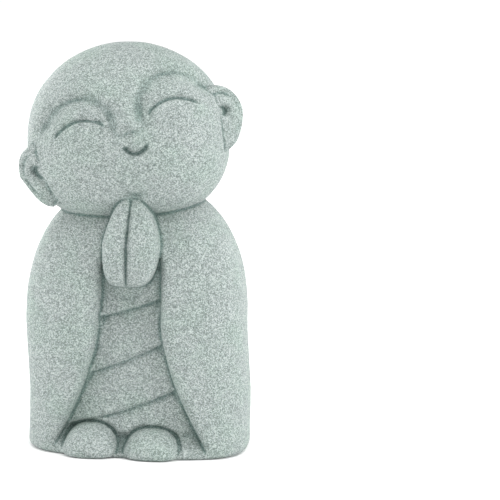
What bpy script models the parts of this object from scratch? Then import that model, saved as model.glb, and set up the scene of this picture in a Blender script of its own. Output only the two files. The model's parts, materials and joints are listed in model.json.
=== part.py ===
"""A small praying jizo figure, cast in one piece of fine green-grey sandstone composite.

Metres, +Z up. The figure faces -Y and stands on the plane z = 0, with the origin under the
middle of its robe. Every form is a primitive whose points are moved by a short formula, and
a union makes them one solid.
"""

import math

import bmesh
import bpy
import numpy as np
from mathutils import Matrix

# The carving is sized in units of 1 mm
UNIT = 0.001
HEIGHT = 60.5 * UNIT

# Robe: the cloaked body, a rounded block with sloping shoulders
ROBE_HALF_WIDTH = 16.4 * UNIT
ROBE_HALF_DEPTH = 11.8 * UNIT
ROBE_PLAN_POWER = 2.9
ROBE_LEAN = 0.8 * UNIT
ROBE_LEAN_TOP = 20.5 * UNIT
ROBE_LEAN_OVER = 14.0 * UNIT
ROBE_OFFSET_X = -0.2 * UNIT
SHOULDER_START = 19.5 * UNIT
SHOULDER_POWER = 2.3
HEAD_SINK = 5.9 * UNIT
FOOT_EDGE_RADIUS = 1.0 * UNIT
BELOW_GROUND = 1.5 * UNIT

# Sleeves: their front edges part below the hands and open towards the base
OPENING_HALF_WIDTH = 4.6 * UNIT
OPENING_NARROWS_BY = 3.2 * UNIT
OPENING_NARROWS_FROM = 27.5 * UNIT
OPENING_SPREAD = {"right": 6.9 * UNIT, "left": 7.8 * UNIT}
OPENING_SPREAD_TOP = 20.0 * UNIT
OPENING_SPREAD_POWER = 1.6
OPENING_DEPTH = 2.8 * UNIT
SLEEVE_EDGE_ROLL = 1.9 * UNIT
OPENING_CLOSES_OVER = {"right": 4.2 * UNIT, "left": 3.4 * UNIT}
FEET_MERGE_OVER = 2.6 * UNIT
OPENING_AT_HANDS = {"right": -0.4 * UNIT, "left": 0.0 * UNIT}
HANDS_FROM = 20.0 * UNIT
HANDS_OVER = 6.0 * UNIT
SLEEVE_SHARPENS_BY = 0.9 * UNIT
HANDS_HIDE_FROM = 23.0 * UNIT
HANDS_HIDE_OVER = 5.0 * UNIT
SHALLOWER_AT_HANDS = 0.5

# Under-robe: three folds that slant across the opening, and a hem that arches over the feet
FOLD_HEIGHTS = (22.0 * UNIT, 14.6 * UNIT, 7.1 * UNIT)
FOLD_SLOPES = (0.33, 0.44, 0.38)
FOLD_BEND = 8.0
FOLD_STEP = 0.5 * UNIT
FOLD_SOFTNESS = 0.5 * UNIT
FOLD_FADE = 1.7 * UNIT
HEM_GAP = 0.7 * UNIT
HEM_DIP_HEIGHT = 3.65 * UNIT
HEM_DEPTH = 0.62 * UNIT

# Feet: two rounded toes that look out from under the hem
FOOT_PLACES = {"right": -5.4 * UNIT, "left": 3.7 * UNIT}
FOOT_TOPS = {"right": 4.65 * UNIT, "left": 4.25 * UNIT}
FOOT_HALF_WIDTH = 4.1 * UNIT
FOOT_HALF_LENGTH = 6.0 * UNIT
FOOT_REACH = 1.7 * UNIT
FOOT_DOME_POWER = 2.4
FOOT_PLAN_POWER = 2.7
FOOT_FLARE = 0.5 * UNIT
FOOT_FLARE_UNDER = 2.6 * UNIT

# Hands: two palms pressed together under the chin
HAND_BOTTOM = 25.4 * UNIT
HAND_TOP = 39.3 * UNIT
HAND_WIDTHS = {"right": 3.45 * UNIT, "left": 4.45 * UNIT}
HAND_SEAM_X = -0.35 * UNIT
HAND_SEAM_LEAN = 0.9 * UNIT
HAND_REACH = 2.1 * UNIT
HAND_HALF_DEPTH = 4.2 * UNIT
HAND_TAPER_START = 0.45
HAND_TAPERS = {"right": 1.0, "left": 1.3}
HAND_TAPER_POWER = 1.25
HAND_HEEL_START = 0.4
HAND_HEEL_TAPERS = {"right": 0.1, "left": 0.42}
HAND_OVERLAP = 1.15
HAND_LEAN = 0.3 * UNIT
HAND_PLAN_POWER = 3.0
TIP_POWER = 2.8
HEEL_POWER = 4.0

# Head: a broad egg, wider at the cheeks, leaning a little to the figure's right
HEAD_HALF_WIDTH = 14.85 * UNIT
HEAD_HALF_DEPTH = 13.3 * UNIT
HEAD_HALF_HEIGHT = 13.15 * UNIT
HEAD_POWER = 2.3
CROWN_ROUNDING = 0.23
CHEEK_SWELL = 0.08
HEAD_OFFSET_X = -2.0 * UNIT
HEAD_OFFSET_Y = -1.0 * UNIT
HEAD_LEAN = math.radians(3.8)

# Face: it turns and tips up a little more than the skull, and leans well over
FACE_TURN = math.radians(8)
FACE_LIFT = math.radians(8)
FACE_LEAN = math.radians(16.2)
BROW_CENTRE = (7.3 * UNIT, 0.95 * UNIT)
BROW_TILT = 0.034
BROW_INNER = 5.0 * UNIT
BROW_OUTER = 5.8 * UNIT
BROW_HEIGHT = 5.4 * UNIT
BROW_RUN_IN = 0.25
BROW_DEPTH = 1.0 * UNIT
EYE_CENTRE = (7.15 * UNIT, 2.45 * UNIT)
EYE_TILT = 0.017
EYE_HALF_LENGTH = 3.65 * UNIT
EYE_SAG = 1.35 * UNIT
EYE_DEPTH = 0.75 * UNIT
NOSE_TIP = (0.1 * UNIT, 0.4 * UNIT)
NOSE_HALF_WIDTH = 1.1 * UNIT
NOSE_LENGTH = 4.2 * UNIT
NOSE_UNDERSIDE = 1.15 * UNIT
NOSE_HEIGHT = 1.3 * UNIT
WING_PLACE = (1.2 * UNIT, -0.2 * UNIT)
WING_RADIUS = 0.55 * UNIT
WING_HEIGHT = 0.4 * UNIT
MOUTH_CENTRE = (0.42 * UNIT, -2.48 * UNIT)
MOUTH_RADIUS = 1.84 * UNIT
MOUTH_HALF_ANGLE = math.radians(84)
CHIN_HOLLOW = (-1.5 * UNIT, -10.0 * UNIT)
CHIN_HOLLOW_SLOPE = 0.2
CHIN_HOLLOW_HALF_WIDTH = 2.1 * UNIT
CHIN_HOLLOW_HALF_HEIGHT = 0.8 * UNIT
CHIN_HOLLOW_DEPTH = 0.5 * UNIT
MOUTH_DEPTH = 0.95 * UNIT
GROOVE_HALF_WIDTH = 0.34 * UNIT

# Ears: long cupped discs that stand out of the sides of the head
EAR_UPPER_HEIGHT = 4.4 * UNIT
EAR_LOWER_HEIGHT = 5.3 * UNIT
EAR_HALF_WIDTH = 4.4 * UNIT
EAR_HALF_THICKNESS = 1.45 * UNIT
EAR_SWEEP = math.radians(40)
EAR_SET_IN = 1.4 * UNIT
EAR_SETS_FORWARD = {"right": 5.8 * UNIT, "left": 4.3 * UNIT}
EAR_HEIGHTS = {"right": -2.9 * UNIT, "left": -1.35 * UNIT}
EAR_TOP_FULLNESS = {"right": 0.3, "left": 0.0}
EAR_LOBE_TAPERS = {"right": 0.42, "left": 0.3}
EAR_LOBE_POWERS = {"right": 0.7, "left": 1.0}
EAR_RIM = 0.35 * UNIT
EAR_GROOVES = {"right": 0.15 * UNIT, "left": 0.22 * UNIT}
EAR_GROOVE_RADIUS = 0.69
EAR_GROOVE_ENDS = {"right": (-95, 85), "left": (40, 120)}
EAR_BOWLS = {"right": 1.9 * UNIT, "left": 2.0 * UNIT}
EAR_BOWL_PLACES = {"right": (0.2, 0.06), "left": (0.10, 0.09)}
EAR_BOWL_SIZES = {"right": (0.2, 0.22), "left": (0.20, 0.16)}
EAR_BOWL_LEANS = {"right": 0.3, "left": 0.0}
EAR_ROOT_SINKS = {"right": 0.8 * UNIT, "left": 0.25 * UNIT}
EAR_ROOT_EDGES = {"right": 0.3, "left": 0.1}
EAR_LOBES_BACK = {"right": 1.4 * UNIT, "left": 0.0}

# Fineness of the forms, and of the finished solid
ROUND_STEPS = 260
TALL_STEPS = 150
ROBE_TALL_STEPS = 240
SMALL_STEPS = 64
SKIN_STEP = 0.2 * UNIT
TRIANGLES = 9400

STONE = ("sandstone_composite", (0.47, 0.53, 0.50, 1.0), 0.85)


def smooth(t):
    """0 below 0, 1 above 1, with a soft start and end between."""
    t = np.clip(t, 0.0, 1.0)
    return t * t * (3 - 2 * t)


def bell(t):
    return np.exp(-t * t)


def clear_scene():
    for obj in list(bpy.data.objects):
        bpy.data.objects.remove(obj, do_unlink=True)


def stone_material():
    name, colour, roughness = STONE
    material = bpy.data.materials.new(name)
    material.use_nodes = True
    shader = material.node_tree.nodes["Principled BSDF"]
    shader.inputs["Base Color"].default_value = colour
    shader.inputs["Roughness"].default_value = roughness
    shader.inputs["Metallic"].default_value = 0.0
    return material


def sphere_form(name, around, along, shape):
    """A UV sphere whose unit points are moved by shape(points), in a new object."""
    mesh = bpy.data.meshes.new(name)
    bm = bmesh.new()
    bmesh.ops.create_uvsphere(bm, u_segments=around, v_segments=along, radius=1.0)
    bm.to_mesh(mesh)
    bm.free()
    points = np.empty(len(mesh.vertices) * 3)
    mesh.vertices.foreach_get("co", points)
    mesh.vertices.foreach_set("co", shape(points.reshape(-1, 3)).ravel())
    mesh.update()
    return bpy.data.objects.new(name, mesh)


# Robe

def head_centre():
    return np.array([HEAD_OFFSET_X, HEAD_OFFSET_Y, HEIGHT - HEAD_HALF_HEIGHT])


def robe_top():
    return HEIGHT - 2 * HEAD_HALF_HEIGHT + HEAD_SINK


def robe_share(z):
    """The share of its full width and depth that the robe has at height z."""
    rise = np.clip((z - SHOULDER_START) / (robe_top() - SHOULDER_START), 0, 1)
    return (1 - rise**SHOULDER_POWER) ** (1 / SHOULDER_POWER)


def foot_edge_inset(z):
    """How far the rounded bottom edge draws the robe in at height z."""
    drop = np.clip(FOOT_EDGE_RADIUS - z, 0, FOOT_EDGE_RADIUS)
    return FOOT_EDGE_RADIUS - np.sqrt(FOOT_EDGE_RADIUS**2 - drop**2)


def robe_front(x, z):
    """The y of the robe's uncarved front at x and height z."""
    inset = foot_edge_inset(z)
    share = np.maximum(robe_share(z), 1e-6)
    across = np.clip(np.abs(x) / ((ROBE_HALF_WIDTH - inset) * share), 0, 1)
    return -(ROBE_HALF_DEPTH - inset) * share * (1 - across**ROBE_PLAN_POWER) ** (1 / ROBE_PLAN_POWER)


def robe_offset(z):
    """How far the robe's middle lies to the figure's left at height z."""
    return ROBE_OFFSET_X + ROBE_LEAN * smooth((ROBE_LEAN_TOP - z) / ROBE_LEAN_OVER)


def opening_half_width(x, z):
    spread = np.where(x < 0, OPENING_SPREAD["right"], OPENING_SPREAD["left"])
    rise = np.clip(1 - z / OPENING_SPREAD_TOP, 0, 1)
    narrows = OPENING_NARROWS_BY * smooth((z - OPENING_NARROWS_FROM) / (HAND_TOP - OPENING_NARROWS_FROM))
    return OPENING_HALF_WIDTH - narrows + spread * rise**OPENING_SPREAD_POWER


def foot_outline(x, grow):
    """The height of the feet's outline at x, seen from the front and grown by a gap."""
    height = np.zeros_like(x)
    for side, place in FOOT_PLACES.items():
        off = np.abs(x - place) / (FOOT_HALF_WIDTH + grow)
        dome = np.clip(1 - off**FOOT_DOME_POWER, 0, 1) ** (1 / FOOT_DOME_POWER)
        height = np.maximum(height, (FOOT_TOPS[side] + grow) * dome)
    return height


def hem_height(x):
    """The hem follows the feet, and bridges the dip between them."""
    between = HEM_DIP_HEIGHT * ((x > FOOT_PLACES["right"]) & (x < FOOT_PLACES["left"]))
    return np.maximum(foot_outline(x, HEM_GAP), between)


def opening_cut(x, z):
    """How deep the opening is carved at x and height z: the under-robe, its folds and its hem."""
    at_hands = smooth((z - HANDS_FROM) / HANDS_OVER)
    edge = SLEEVE_EDGE_ROLL - SLEEVE_SHARPENS_BY * at_hands
    inside = opening_half_width(x, z) - np.abs(x)
    inside = inside + at_hands * np.where(x < 0, OPENING_AT_HANDS["right"], OPENING_AT_HANDS["left"])
    roll = np.clip(1 + inside / edge, 0, 1)
    behind_hands = SHALLOWER_AT_HANDS * smooth((z - HANDS_HIDE_FROM) / HANDS_HIDE_OVER)
    cut = OPENING_DEPTH * (1 - behind_hands) * (1 - np.sqrt(1 - roll**2))
    floor = smooth(inside / (0.4 * edge))
    for height, slope in zip(FOLD_HEIGHTS, FOLD_SLOPES):
        above = (z - height - slope * x - FOLD_BEND * x * x) / math.hypot(1, slope)
        step = smooth(0.5 - above / FOLD_SOFTNESS) * bell(np.minimum(above, 0) / FOLD_FADE)
        cut = cut + FOLD_STEP * step * floor
    cut = cut + HEM_DEPTH * smooth((hem_height(x) - z) / HEM_GAP) * floor
    right = smooth(z / OPENING_CLOSES_OVER["right"])
    left = smooth(z / OPENING_CLOSES_OVER["left"])
    between = smooth(z / FEET_MERGE_OVER)
    beyond_right, beyond_left = x < FOOT_PLACES["right"], x > FOOT_PLACES["left"]
    return cut * np.where(beyond_right, right, np.where(beyond_left, left, between))


def robe_shape(unit):
    """Rings become level sections, evenly spaced in height, with more of their points in front."""
    turn = np.arctan2(unit[:, 0], -unit[:, 1])
    turn = turn - 0.45 * np.sin(turn)
    climb = np.arcsin(np.clip(unit[:, 2], -1, 1)) / math.pi + 0.5
    rise = np.clip((climb - 0.06) / 0.88, 0, 1)
    z = -BELOW_GROUND + (robe_top() + BELOW_GROUND) * np.sin(rise * math.pi / 2) ** 1.15
    near_pole = np.minimum(1, np.minimum(climb / 0.06, (1 - climb) / 0.001))
    share = np.maximum(robe_share(z), 0) * near_pole
    inset = foot_edge_inset(np.maximum(z, 0))
    s, c = np.sin(turn), np.cos(turn)
    reach = (np.abs(s) ** ROBE_PLAN_POWER + np.abs(c) ** ROBE_PLAN_POWER) ** (-1 / ROBE_PLAN_POWER)
    x = robe_offset(z) + (ROBE_HALF_WIDTH - inset) * share * reach * s
    y = -(ROBE_HALF_DEPTH - inset) * share * reach * c
    front = smooth((-y / ROBE_HALF_DEPTH - 0.25) / 0.25)
    y = y + opening_cut(x, z) * front
    return np.stack([x, y, z], axis=1)


# Feet and hands

def foot_form(side):
    place, height = FOOT_PLACES[side], FOOT_TOPS[side]
    front = float(robe_front(np.array(place), np.array(FOOT_EDGE_RADIUS))) - FOOT_REACH

    def shape(unit):
        turn = np.arctan2(unit[:, 0], -unit[:, 1])
        s, c = np.sin(turn), np.cos(turn)
        square = (np.abs(s) ** FOOT_PLAN_POWER + np.abs(c) ** FOOT_PLAN_POWER) ** (-1 / FOOT_PLAN_POWER)
        top = np.clip(unit[:, 2], 0, 1)
        dome = np.clip(1 - top**2, 0, 1) ** (1 / FOOT_DOME_POWER)
        share = np.where(unit[:, 2] > 0, dome, np.minimum(1, np.hypot(unit[:, 0], unit[:, 1]) / 0.6))
        drop = np.clip(-unit[:, 2] / 0.8, 0, 1)
        z = height * top ** (2 / FOOT_DOME_POWER) - BELOW_GROUND * drop
        inset = foot_edge_inset(np.maximum(z, 0))
        flare = FOOT_FLARE * smooth(1 - z / FOOT_FLARE_UNDER)
        x = place + (FOOT_HALF_WIDTH + flare - inset) * share * square * s
        y = front + FOOT_HALF_LENGTH - (FOOT_HALF_LENGTH - inset) * share * square * c
        return np.stack([x, y, z], axis=1)

    return sphere_form(f"foot_{side}", SMALL_STEPS, SMALL_STEPS, shape)


def hand_form(side):
    sign = 1 if side == "left" else -1
    chest = float(robe_front(np.array(0.0), np.array(HAND_BOTTOM)))

    def shape(unit):
        climb = (unit[:, 2] + 1) / 2
        power = np.where(climb > 0.5, TIP_POWER, HEEL_POWER)
        ends = np.clip(1 - np.abs(2 * climb - 1) ** power, 0, 1) ** (1 / power)
        over = np.clip(climb - HAND_TAPER_START, 0, 1)
        under = np.clip(HAND_HEEL_START - climb, 0, 1)
        taper = 1 - HAND_TAPERS[side] * over**HAND_TAPER_POWER - HAND_HEEL_TAPERS[side] * under
        turn = np.arctan2(unit[:, 0], unit[:, 1])
        u, v = np.sin(turn), np.cos(turn)
        square = (np.abs(u) ** HAND_PLAN_POWER + np.abs(v) ** HAND_PLAN_POWER) ** (-1 / HAND_PLAN_POWER)
        half = HAND_WIDTHS[side] * ends * taper / 2
        x = HAND_SEAM_X + HAND_SEAM_LEAN * over + sign * half + half * u * square * HAND_OVERLAP
        depth = HAND_HALF_DEPTH * ends * (0.55 + 0.45 * taper)
        y = chest + HAND_HALF_DEPTH - HAND_REACH + HAND_LEAN * climb + depth * v * square
        z = HAND_BOTTOM + (HAND_TOP - HAND_BOTTOM) * climb
        return np.stack([x, y, z], axis=1)

    return sphere_form(f"hand_{side}", SMALL_STEPS, SMALL_STEPS, shape)


# Head

def face_axes():
    """Right, back and up of the face, as rows, in the figure's own axes."""
    turn = Matrix.Rotation(FACE_TURN, 3, "Z") @ Matrix.Rotation(-FACE_LIFT, 3, "X")
    lean = Matrix.Rotation(-FACE_LEAN, 3, "Y")
    return np.array(turn @ lean).T


def face_relief(x, z):
    """How far the face stands out of the skull at x and z of the face."""
    side = np.abs(x)
    brow_z = z - BROW_CENTRE[1] - BROW_TILT * x
    low = np.maximum(-brow_z, 0)
    stretch = np.where(side < BROW_CENTRE[0], BROW_INNER + BROW_RUN_IN * low, BROW_OUTER)
    from_brow = np.hypot((side - BROW_CENTRE[0]) / stretch, np.maximum(brow_z, 0) / BROW_HEIGHT) - 1
    above = 0.3 + 0.12 * smooth(low / (2.0 * UNIT))
    hollow = np.where(from_brow < 0, 1 - smooth(-from_brow / 0.5), 1 - smooth(from_brow / above))
    inner_end = smooth((z + 0.8 * UNIT) / (3.4 * UNIT))
    outer_end = smooth((z - 1.0 * UNIT) / (3.0 * UNIT))
    relief = -BROW_DEPTH * hollow * np.where(side < BROW_CENTRE[0], inner_end, outer_end)

    along = (side - EYE_CENTRE[0]) / EYE_HALF_LENGTH
    slope = 2 * EYE_SAG * along / EYE_HALF_LENGTH
    below = (EYE_CENTRE[1] - EYE_TILT * x - EYE_SAG * along**2 - z) / np.hypot(1, slope)
    width = np.where(below > 0, 0.5, 1.9) * GROOVE_HALF_WIDTH
    relief -= EYE_DEPTH * bell(below / width) * smooth((1.1 - np.abs(along)) / 0.25)

    nose_x, nose_z = x - NOSE_TIP[0], z - NOSE_TIP[1]
    rise = np.where(nose_z > 0, 1 - smooth(nose_z / NOSE_LENGTH), 1 - smooth(-nose_z / NOSE_UNDERSIDE))
    relief += NOSE_HEIGHT * bell(nose_x / NOSE_HALF_WIDTH) * rise
    from_wing = np.hypot(np.abs(nose_x) - WING_PLACE[0], z - WING_PLACE[1])
    relief += WING_HEIGHT * bell(from_wing / WING_RADIUS)

    mouth_x, mouth_z = x - MOUTH_CENTRE[0], z - MOUTH_CENTRE[1]
    off = np.hypot(mouth_x, mouth_z) - MOUTH_RADIUS
    angle = np.abs(np.arctan2(mouth_x, -mouth_z)) / MOUTH_HALF_ANGLE
    width = np.where(off > 0, 0.8, 2.0) * GROOVE_HALF_WIDTH
    relief -= MOUTH_DEPTH * bell(off / width) * smooth((1.1 - angle) / np.where(mouth_x > 0, 0.8, 0.35))

    chin_z = z - CHIN_HOLLOW[1] + CHIN_HOLLOW_SLOPE * (x - CHIN_HOLLOW[0])
    from_tips = np.hypot((x - CHIN_HOLLOW[0]) / CHIN_HOLLOW_HALF_WIDTH, chin_z / CHIN_HOLLOW_HALF_HEIGHT)
    relief -= CHIN_HOLLOW_DEPTH * bell(from_tips)
    return relief


def head_shape(unit):
    """An egg of three half sizes, denser in front, with the face carved along its radius."""
    turn = np.arctan2(unit[:, 0], -unit[:, 1])
    turn = turn - 0.32 * np.sin(turn)
    level = np.hypot(unit[:, 0], unit[:, 1])
    d = np.stack([level * np.sin(turn), -level * np.cos(turn), unit[:, 2]], axis=1)
    wide = HEAD_HALF_WIDTH * (1 - CHEEK_SWELL * d[:, 2])
    sizes = np.stack([wide, np.full_like(wide, HEAD_HALF_DEPTH), np.full_like(wide, HEAD_HALF_HEIGHT)], axis=1)
    power = HEAD_POWER - CROWN_ROUNDING * d[:, 2]
    radius = (np.abs(d / sizes) ** power[:, None]).sum(axis=1) ** (-1 / power)
    lean = np.array(Matrix.Rotation(-HEAD_LEAN, 3, "Y"))
    points = (d * radius[:, None]) @ lean.T
    face = points @ face_axes().T
    front = smooth(-face[:, 1] / (3 * UNIT))
    relief = face_relief(face[:, 0], face[:, 2]) * front
    length = np.linalg.norm(points, axis=1)
    return head_centre() + points * (1 + relief / length)[:, None]


def ear_form(side):
    """A disc with a raised rim and a hollow, facing forward and out."""
    sign = 1 if side == "left" else -1
    axes = face_axes()
    out = sign * math.cos(EAR_SWEEP) * axes[0] + math.sin(EAR_SWEEP) * axes[1]
    facing = sign * math.sin(EAR_SWEEP) * axes[0] - math.cos(EAR_SWEEP) * axes[1]
    up = axes[2]
    root = head_centre() + sign * (HEAD_HALF_WIDTH - EAR_SET_IN) * axes[0]
    root = root - EAR_SETS_FORWARD[side] * axes[1] + EAR_HEIGHTS[side] * axes[2]

    def shape(unit):
        u, v = unit[:, 0], unit[:, 1]
        narrowing = EAR_LOBE_TAPERS[side] * np.clip(-v, 0, 1) ** EAR_LOBE_POWERS[side]
        o = u * EAR_HALF_WIDTH * (1 - narrowing + EAR_TOP_FULLNESS[side] * np.clip(v, 0, 1) ** 2)
        t = v * np.where(v > 0, EAR_UPPER_HEIGHT, EAR_LOWER_HEIGHT)
        plane = np.hypot(u, v)
        outer = smooth(1.4 * u + 0.6 + 0.5 * v)
        relief = EAR_RIM * bell((plane - 0.88) / 0.13) * outer
        angle = np.degrees(np.arctan2(v, u))
        first, last = EAR_GROOVE_ENDS[side]
        inside = smooth((angle - first) / 25) * smooth((last - angle) / 25)
        relief -= EAR_GROOVES[side] * bell((plane - EAR_GROOVE_RADIUS) / 0.08) * inside
        bowl_v = v - EAR_BOWL_PLACES[side][1]
        bowl_u = u - EAR_BOWL_PLACES[side][0] - EAR_BOWL_LEANS[side] * bowl_v
        across, along = EAR_BOWL_SIZES[side]
        relief -= EAR_BOWLS[side] * bell(np.hypot(bowl_u / across, bowl_v / along))
        relief -= EAR_ROOT_SINKS[side] * smooth((EAR_ROOT_EDGES[side] - u) / 0.5)
        n = unit[:, 2] * EAR_HALF_THICKNESS + relief * smooth(unit[:, 2] / 0.4)
        back = EAR_LOBES_BACK[side] * np.clip(-v, 0, 1)
        points = root + o[:, None] * out + t[:, None] * up + n[:, None] * facing
        return points + back[:, None] * axes[1]

    form = sphere_form(f"ear_{side}", SMALL_STEPS, SMALL_STEPS, shape)
    if sign < 0:
        form.data.flip_normals()
    return form


# One solid

def apply_modifiers(obj):
    graph = bpy.context.evaluated_depsgraph_get()
    done = bpy.data.meshes.new_from_object(obj.evaluated_get(graph))
    obj.modifiers.clear()
    obj.data = done


def join_forms(base, others):
    """Adds the other forms to the base with a Boolean union, then removes them."""
    for other in others:
        joint = base.modifiers.new(other.name, "BOOLEAN")
        joint.operation = "UNION"
        joint.object = other
    apply_modifiers(base)
    for other in others:
        bpy.data.objects.remove(other, do_unlink=True)


def cast_skin(obj):
    """Lays one even skin over the joined forms, which softens each crease as casting does."""
    skin = obj.modifiers.new("cast_skin", "REMESH")
    skin.mode = "VOXEL"
    skin.voxel_size = SKIN_STEP
    apply_modifiers(obj)


def thin_out(obj):
    """Keeps the triangles where the carving needs them."""
    obj.data.calc_loop_triangles()
    fewer = obj.modifiers.new("fewer_faces", "DECIMATE")
    fewer.ratio = min(1.0, TRIANGLES / len(obj.data.loop_triangles))
    fewer.use_collapse_triangulate = True
    apply_modifiers(obj)


def cut_flat_below(obj):
    """Cuts the solid off at z = 0 and closes it with one flat face."""
    bm = bmesh.new()
    bm.from_mesh(obj.data)
    everything = bm.verts[:] + bm.edges[:] + bm.faces[:]
    cut = bmesh.ops.bisect_plane(
        bm, geom=everything, dist=1e-7, plane_co=(0, 0, 0), plane_no=(0, 0, 1), clear_inner=True
    )
    rim = [e for e in cut["geom_cut"] if isinstance(e, bmesh.types.BMEdge)]
    bmesh.ops.holes_fill(bm, edges=rim, sides=0)
    bmesh.ops.triangulate(bm, faces=bm.faces[:])
    bm.to_mesh(obj.data)
    bm.free()


def main():
    clear_scene()
    figure = bpy.data.collections.new("jizo_figure")
    bpy.context.scene.collection.children.link(figure)
    robe = sphere_form("jizo_figure", ROUND_STEPS, ROBE_TALL_STEPS, robe_shape)
    head = sphere_form("head", ROUND_STEPS, TALL_STEPS, head_shape)
    others = [head]
    for side in ("right", "left"):
        others += [ear_form(side), foot_form(side), hand_form(side)]
    for form in [robe] + others:
        figure.objects.link(form)
    join_forms(robe, others)
    cast_skin(robe)
    thin_out(robe)
    cut_flat_below(robe)
    robe.data.materials.clear()
    robe.data.materials.append(stone_material())
    robe.data.shade_smooth()
    robe.data.set_sharp_from_angle(angle=math.radians(35))


main()
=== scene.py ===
"""A small praying jizo figure of cast sandstone composite, on a plain white studio floor.

The file is laid out as a Blender add-on. Each operator makes one group of forms, as a carver
would block them out: robe, feet, hands, head and ears. The last ones cast the forms as one
piece of stone, give it its grain, and set the stage. Sizes are in metres, +Z is up, and the
figure faces -Y.
"""

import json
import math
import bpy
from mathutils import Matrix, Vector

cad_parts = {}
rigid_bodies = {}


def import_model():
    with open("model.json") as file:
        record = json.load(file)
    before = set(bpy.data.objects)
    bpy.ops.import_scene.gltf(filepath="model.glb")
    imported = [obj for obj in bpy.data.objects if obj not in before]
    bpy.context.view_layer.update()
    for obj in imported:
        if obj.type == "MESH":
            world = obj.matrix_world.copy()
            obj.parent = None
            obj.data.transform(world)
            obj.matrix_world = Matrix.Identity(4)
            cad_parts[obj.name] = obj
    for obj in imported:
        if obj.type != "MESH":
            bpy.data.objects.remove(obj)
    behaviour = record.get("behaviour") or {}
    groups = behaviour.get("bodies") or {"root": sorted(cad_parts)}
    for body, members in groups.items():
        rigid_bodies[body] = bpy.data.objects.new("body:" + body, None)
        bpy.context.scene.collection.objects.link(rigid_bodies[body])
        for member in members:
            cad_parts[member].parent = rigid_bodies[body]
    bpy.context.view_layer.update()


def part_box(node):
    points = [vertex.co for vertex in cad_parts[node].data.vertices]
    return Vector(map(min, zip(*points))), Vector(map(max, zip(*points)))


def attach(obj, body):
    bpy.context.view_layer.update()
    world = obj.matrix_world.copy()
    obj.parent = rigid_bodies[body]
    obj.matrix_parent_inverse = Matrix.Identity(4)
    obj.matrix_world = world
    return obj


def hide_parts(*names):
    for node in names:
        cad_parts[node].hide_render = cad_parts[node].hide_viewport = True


bl_info = {
    "name": "Praying jizo figure",
    "version": (1, 0, 0),
    "blender": (4, 5, 0),
    "location": "3D View > Sidebar > Jizo",
    "description": "Carves and casts a small stone jizo figure with pressed hands",
    "category": "Add Mesh",
}

import bpy
import numpy as np
from mathutils import Matrix, Vector

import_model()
CAD_FIGURE_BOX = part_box("jizo_figure")

MM = 0.001

# Robe: a rounded block with sloping shoulders, leaning a little to the figure's left at its foot
ROBE_PLAN_POWER = 2.9
ROBE_LEAN = 0.8 * MM
ROBE_LEAN_TOP = 20.5 * MM
ROBE_LEAN_OVER = 14.0 * MM
ROBE_OFFSET_X = -0.2 * MM
SHOULDER_START = 19.5 * MM
SHOULDER_POWER = 2.3
HEAD_SINK = 5.9 * MM
FOOT_EDGE_RADIUS = 1.0 * MM
BELOW_GROUND = 1.5 * MM
ROBE_FRONT_DENSITY = 0.45
ROBE_POLE_CLIMB = 0.06
ROBE_WALL_CLIMB = 0.88
ROBE_CROWN_POLE = 0.001
ROBE_RING_POWER = 1.15
LEAST_SHARE = 1e-6

# Opening: the sleeves' front edges part below the hands. It's carved in the robe's front alone,
# and the under-robe's folds and hem fade out towards its edge.
OPENING_FRONT_FROM = 0.25
OPENING_FRONT_OVER = 0.25
OPENING_FLOOR_SHARE = 0.4
OPENING_HALF_WIDTH = 4.6 * MM
OPENING_NARROWS_BY = 3.2 * MM
OPENING_NARROWS_FROM = 27.5 * MM
OPENING_SPREAD = {"right": 6.9 * MM, "left": 7.8 * MM}
OPENING_SPREAD_TOP = 20.0 * MM
OPENING_SPREAD_POWER = 1.6
OPENING_CLOSES_OVER = {"right": 4.2 * MM, "left": 3.4 * MM}
FEET_MERGE_OVER = 2.6 * MM

# Opening behind the hands: drawn in on the right and sharper at its edge from HANDS_FROM up,
# and shallower from HANDS_HIDE_FROM up
OPENING_AT_HANDS = {"right": -0.4 * MM, "left": 0.0 * MM}
HANDS_FROM = 20.0 * MM
HANDS_OVER = 6.0 * MM
SLEEVE_SHARPENS_BY = 0.9 * MM
HANDS_HIDE_FROM = 23.0 * MM
HANDS_HIDE_OVER = 5.0 * MM
SHALLOWER_AT_HANDS = 0.5

# Under-robe: three slanting folds, and a hem over the feet
FOLD_HEIGHTS = (22.0 * MM, 14.6 * MM, 7.1 * MM)
FOLD_SLOPES = (0.33, 0.44, 0.38)
FOLD_BEND = 8.0
FOLD_SOFTNESS = 0.5 * MM
FOLD_FADE = 1.7 * MM
HEM_GAP = 0.7 * MM
HEM_DIP_HEIGHT = 3.65 * MM
HEM_DEPTH = 0.62 * MM

# Feet: rounded, each with its own place and height
FOOT_PLACES = {"right": -5.4 * MM, "left": 3.7 * MM}
FOOT_TOPS = {"right": 4.65 * MM, "left": 4.25 * MM}
FOOT_HALF_WIDTH = 4.1 * MM
FOOT_HALF_LENGTH = 6.0 * MM
FOOT_REACH = 1.7 * MM
FOOT_DOME_POWER = 2.4
FOOT_PLAN_POWER = 2.7
FOOT_FLARE = 0.5 * MM
FOOT_FLARE_UNDER = 2.6 * MM
FOOT_BASE_ROUND = 0.6
FOOT_BASE_DROP = 0.8

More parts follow.
